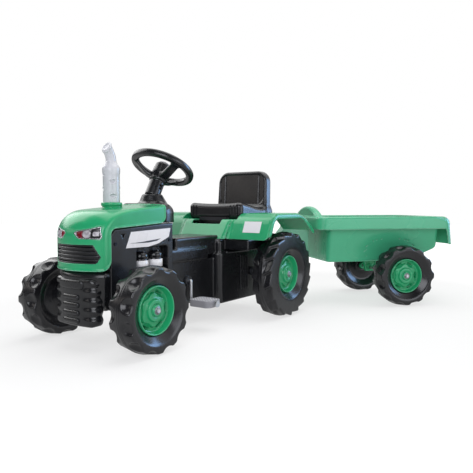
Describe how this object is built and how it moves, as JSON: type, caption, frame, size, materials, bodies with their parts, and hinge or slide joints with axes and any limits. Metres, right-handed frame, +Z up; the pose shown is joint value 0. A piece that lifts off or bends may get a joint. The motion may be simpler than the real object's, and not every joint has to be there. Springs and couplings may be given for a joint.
{
  "type": "ride-on pedal tractor with trailer",
  "caption": "Child's plastic pedal tractor with chain drive, turning front wheels, moulded seat and a hitched trailer tub that swings behind it.",
  "frame": {"origin": "on the ground under the middle of the whole object's box, tractor and swung trailer", "axes": "+Z up, the tractor looks along -Y, its left side is +X"},
  "size_m": [0.8254, 1.4172, 0.5118],
  "materials": {
    "green_plastic": "satin moulded",
    "black_plastic": "satin moulded",
    "grey_plastic": "matt moulded",
    "tyre_plastic": "satin blow-moulded",
    "steel": "zinc plated",
    "silver_plastic": "silver moulded"
  },
  "bodies": {
    "tractor": {"chassis_rear_box": "black_plastic", "chassis_tunnel": "black_plastic", "engine_core": "black_plastic", "side_panel_left": "black_plastic", "side_panel_right": "black_plastic", "filter_canisters": "black_plastic", "panel_screws": "steel", "hood": "green_plastic", "grille": "black_plastic", "headlight_left": "silver_plastic", "headlight_right": "silver_plastic", "exhaust_stack": "silver_plastic", "front_weight": "black_plastic", "dash_panel": "black_plastic", "steering_bush": "black_plastic", "steering_bracket": "steel", "front_axle_beam": "steel", "drive_chain": "steel", "crank_bushes": "black_plastic", "rear_axle_bushes": "black_plastic", "fender_body": "green_plastic", "seat": "black_plastic", "seat_bracket": "black_plastic", "hitch_bracket": "steel"},
    "steering": {"steering_wheel": "black_plastic", "steering_shaft": "steel"},
    "horn": {"horn_button": "black_plastic"},
    "knuckle_left": {"steering_knuckle_left": "steel", "kingpin_left": "steel", "front_axle_cap_left": "steel"},
    "knuckle_right": {"steering_knuckle_right": "steel", "kingpin_right": "steel", "front_axle_cap_right": "steel"},
    "tie_rod_bar": {"tie_rod": "steel"},
    "front_wheel_left": {"front_tyre_left": "tyre_plastic", "front_rim_left": "green_plastic"},
    "front_wheel_right": {"front_tyre_right": "tyre_plastic", "front_rim_right": "green_plastic"},
    "rear_drive": {"rear_axle": "steel", "axle_sprocket": "steel", "rear_tyre_left": "tyre_plastic", "rear_rim_left": "green_plastic", "rear_axle_caps": "steel"},
    "rear_wheel_right": {"rear_tyre_right": "tyre_plastic", "rear_rim_right": "green_plastic"},
    "crank": {"crank_rod": "steel", "crank_sprocket": "steel", "pedal_caps": "steel"},
    "foot_left": {"pedal_left": "grey_plastic"},
    "foot_right": {"pedal_right": "grey_plastic"},
    "trailer": {"trailer_tub": "green_plastic", "trailer_drawbar": "green_plastic", "trailer_axle": "steel", "trailer_axle_legs": "black_plastic", "trailer_axle_caps": "steel"},
    "trailer_wheel_left": {"trailer_tyre_left": "tyre_plastic", "trailer_rim_left": "green_plastic"},
    "trailer_wheel_right": {"trailer_tyre_right": "tyre_plastic", "trailer_rim_right": "green_plastic"},
    "pin": {"hitch_pin": "steel"}
  },
  "joints": [
    {"name": "steering_turn", "type": "hinge", "parent": "tractor", "child": "steering", "pos_m": [-0.17267, -0.37469, 0.4555], "axis": [0, 0.4772, 0.8788], "range_deg": [-25, 25]},
    {"name": "horn_press", "type": "slide", "parent": "steering", "child": "horn", "axis": [0, -0.4772, -0.8788], "range_m": [0, 0.003], "stiffness_N_per_m": 300},
    {"name": "knuckle_left_turn", "type": "hinge", "parent": "tractor", "child": "knuckle_left", "pos_m": [-0.05767, -0.60409, 0.1045], "axis": [0, 0, 1], "range_deg": [-25, 25]},
    {"name": "knuckle_right_turn", "type": "hinge", "parent": "tractor", "child": "knuckle_right", "pos_m": [-0.28767, -0.60409, 0.1045], "axis": [0, 0, 1], "range_deg": [-25, 25]},
    {"name": "tie_rod_turn", "type": "hinge", "parent": "knuckle_left", "child": "tie_rod_bar", "pos_m": [-0.05767, -0.55909, 0.076], "axis": [0, 0, 1], "range_deg": [-25, 25]},
    {"name": "front_wheel_left_spin", "type": "hinge", "parent": "knuckle_left", "child": "front_wheel_left", "pos_m": [0.00133, -0.60409, 0.1045], "axis": [1, 0, 0], "continuous": true},
    {"name": "front_wheel_right_spin", "type": "hinge", "parent": "knuckle_right", "child": "front_wheel_right", "pos_m": [-0.34667, -0.60409, 0.1045], "axis": [1, 0, 0], "continuous": true},
    {"name": "rear_axle_spin", "type": "hinge", "parent": "tractor", "child": "rear_drive", "pos_m": [-0.17267, -0.04709, 0.133], "axis": [1, 0, 0], "continuous": true},
    {"name": "rear_wheel_right_spin", "type": "hinge", "parent": "rear_drive", "child": "rear_wheel_right", "pos_m": [-0.37917, -0.04709, 0.133], "axis": [1, 0, 0], "continuous": true},
    {"name": "crank_spin", "type": "hinge", "parent": "tractor", "child": "crank", "pos_m": [-0.17267, -0.34509, 0.133], "axis": [1, 0, 0], "continuous": true},
    {"name": "pedal_left_spin", "type": "hinge", "parent": "crank", "child": "foot_left", "pos_m": [-0.04367, -0.34509, 0.077], "axis": [1, 0, 0], "continuous": true},
    {"name": "pedal_right_spin", "type": "hinge", "parent": "crank", "child": "foot_right", "pos_m": [-0.30167, -0.34509, 0.189], "axis": [1, 0, 0], "continuous": true},
    {"name": "trailer_swing", "type": "hinge", "parent": "tractor", "child": "trailer", "pos_m": [-0.17267, 0.08291, 0.1653], "axis": [0, 0, 1], "range_deg": [-3, 87]},
    {"name": "hitch_pin_lift", "type": "slide", "parent": "tractor", "child": "pin", "axis": [0, 0, 1], "range_m": [0, 0.05]},
    {"name": "trailer_wheel_left_spin", "type": "hinge", "parent": "trailer", "child": "trailer_wheel_left", "pos_m": [0.29113, 0.34619, 0.1045], "axis": [0.7431, -0.6691, 0], "continuous": true},
    {"name": "trailer_wheel_right_spin", "type": "hinge", "parent": "trailer", "child": "trailer_wheel_right", "pos_m": [0.04069, 0.57169, 0.1045], "axis": [0.7431, -0.6691, 0], "continuous": true}
  ],
  "couplings": [
    {"joint": "knuckle_left_turn", "follows": "steering_turn", "ratio": 1},
    {"joint": "knuckle_right_turn", "follows": "steering_turn", "ratio": 1},
    {"joint": "tie_rod_turn", "follows": "steering_turn", "ratio": -1},
    {"joint": "crank_spin", "follows": "rear_axle_spin", "ratio": 0.75}
  ]
}
